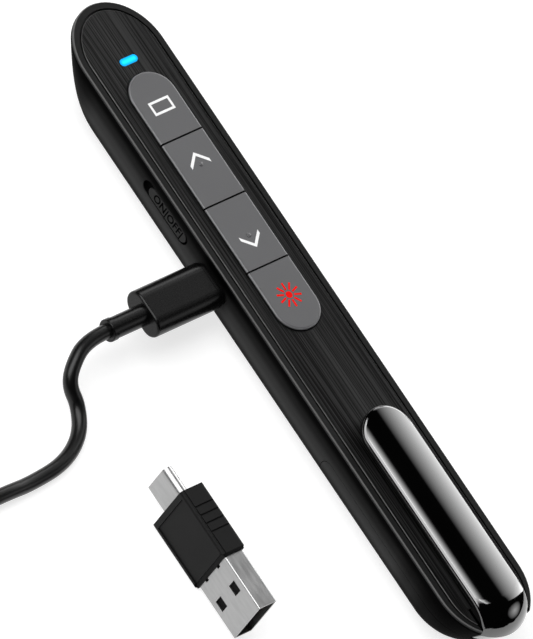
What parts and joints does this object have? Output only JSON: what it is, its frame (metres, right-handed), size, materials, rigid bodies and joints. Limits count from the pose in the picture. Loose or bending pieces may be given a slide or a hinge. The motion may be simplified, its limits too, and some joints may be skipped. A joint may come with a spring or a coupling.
{
  "type": "wireless presentation clicker",
  "caption": "Slim pen-shaped presentation clicker with a column of keys, laser nose, sliding power switch, pocket clip, USB receiver and charging lead.",
  "frame": {"origin": "on the table, under the flat underside, half a millimetre behind the middle of the clicker's length", "axes": "+Y out of the laser nose, +X to the right of a hand that points it, +Z out of the keys"},
  "size_m": [0.1268, 0.1468, 0.0163],
  "materials": {
    "shell_plastic": "fine matte, black",
    "plate_metal": "brushed lengthwise, black",
    "key_plastic": "matte, mid grey",
    "clip_gloss": "polished, black",
    "switch_plastic": "satin, black",
    "light_plastic": "clear, lit from behind",
    "board_green": "solder resist",
    "chip_plastic": "moulded epoxy",
    "switch_metal": "stamped",
    "fastener_steel": "turned",
    "foam": "soft foam",
    "cell_foil": "foil pouch",
    "connector_steel": "nickel plated",
    "connector_plastic": "moulded, black",
    "contact_gold": "gold plated",
    "laser_brass": "turned",
    "bezel_metal": "satin, black",
    "lens_glass": "polished",
    "receiver_plastic": "fine matte, black",
    "plug_plastic": "satin, black",
    "cord_rubber": "satin, black",
    "tie_rubber": "matte strap"
  },
  "bodies": {
    "clicker": {"lower_shell": "shell_plastic", "upper_frame": "shell_plastic", "top_plate": "plate_metal", "light_pipe": "light_plastic", "status_light": "light_plastic", "main_board": "board_green", "key_switch_1": "switch_metal", "key_switch_2": "switch_metal", "key_switch_3": "switch_metal", "key_switch_4": "switch_metal", "controller_chip": "chip_plastic", "charger_chip": "chip_plastic", "board_screws": "fastener_steel", "case_screws": "fastener_steel", "battery_pad": "foam", "battery_cell": "cell_foil", "bay_pad": "foam", "socket_shell": "connector_steel", "socket_tongue": "connector_plastic", "power_switch_body": "switch_plastic", "laser_barrel": "laser_brass", "laser_driver": "chip_plastic", "laser_bezel": "bezel_metal", "laser_lens": "lens_glass", "clip_pin": "fastener_steel", "clip_spring": "fastener_steel"},
    "laser_key": {"laser_key": "key_plastic"},
    "down_key": {"down_key": "key_plastic"},
    "up_key": {"up_key": "key_plastic"},
    "screen_key": {"screen_key": "key_plastic"},
    "power_switch": {"power_switch_knob": "switch_plastic"},
    "clip": {"clip": "clip_gloss"},
    "bay_cover": {"bay_cover": "shell_plastic"},
    "receiver": {"receiver_case": "receiver_plastic", "receiver_inner_frame": "connector_plastic", "receiver_a_shell": "connector_steel", "receiver_a_tongue": "connector_plastic", "receiver_a_contacts": "contact_gold", "receiver_c_shell": "connector_steel", "receiver_board": "board_green", "receiver_chip": "chip_plastic"},
    "charging_lead": {"lead_c_shell": "connector_steel", "lead_c_collar": "plug_plastic", "lead_c_plug": "plug_plastic", "lead_c_relief": "plug_plastic", "lead_cord": "cord_rubber", "lead_cord_tail": "cord_rubber", "lead_cord_coil": "cord_rubber", "cord_tie": "tie_rubber", "lead_a_relief": "plug_plastic", "lead_a_plug": "plug_plastic", "lead_a_shell": "connector_steel", "lead_a_tongue": "connector_plastic", "lead_a_contacts": "contact_gold"}
  },
  "joints": [
    {"name": "laser_key_press", "type": "slide", "parent": "clicker", "child": "laser_key", "axis": [0, 0, -1], "range_m": [0, 0.0004], "stiffness_N_per_m": 3500, "springref_m": -0.0001},
    {"name": "down_key_press", "type": "slide", "parent": "clicker", "child": "down_key", "axis": [0, 0, -1], "range_m": [0, 0.0004], "stiffness_N_per_m": 3500, "springref_m": -0.0001},
    {"name": "up_key_press", "type": "slide", "parent": "clicker", "child": "up_key", "axis": [0, 0, -1], "range_m": [0, 0.0004], "stiffness_N_per_m": 3500, "springref_m": -0.0001},
    {"name": "screen_key_press", "type": "slide", "parent": "clicker", "child": "screen_key", "axis": [0, 0, -1], "range_m": [0, 0.0004], "stiffness_N_per_m": 3500, "springref_m": -0.0001},
    {"name": "power_switch_slide", "type": "slide", "parent": "clicker", "child": "power_switch", "axis": [0, 1, 0], "range_m": [0, 0.0015]},
    {"name": "clip_hinge", "type": "hinge", "parent": "clicker", "child": "clip", "pos_m": [0, -0.0675, 0.0102], "axis": [1, 0, 0], "range_deg": [0, 5], "stiffness_Nm_per_rad": 0.6, "springref_deg": -5.73},
    {"name": "bay_cover_slide", "type": "slide", "parent": "clicker", "child": "bay_cover", "axis": [0, -1, 0], "range_m": [0, 0.038]},
    {"name": "receiver_lift", "type": "slide", "parent": "clicker", "child": "receiver", "axis": [0, 0, 1], "range_m": [0, 0.06]},
    {"name": "charging_lead_unplug", "type": "slide", "parent": "clicker", "child": "charging_lead", "axis": [-1, 0, 0], "range_m": [0, 0.012]}
  ]
}
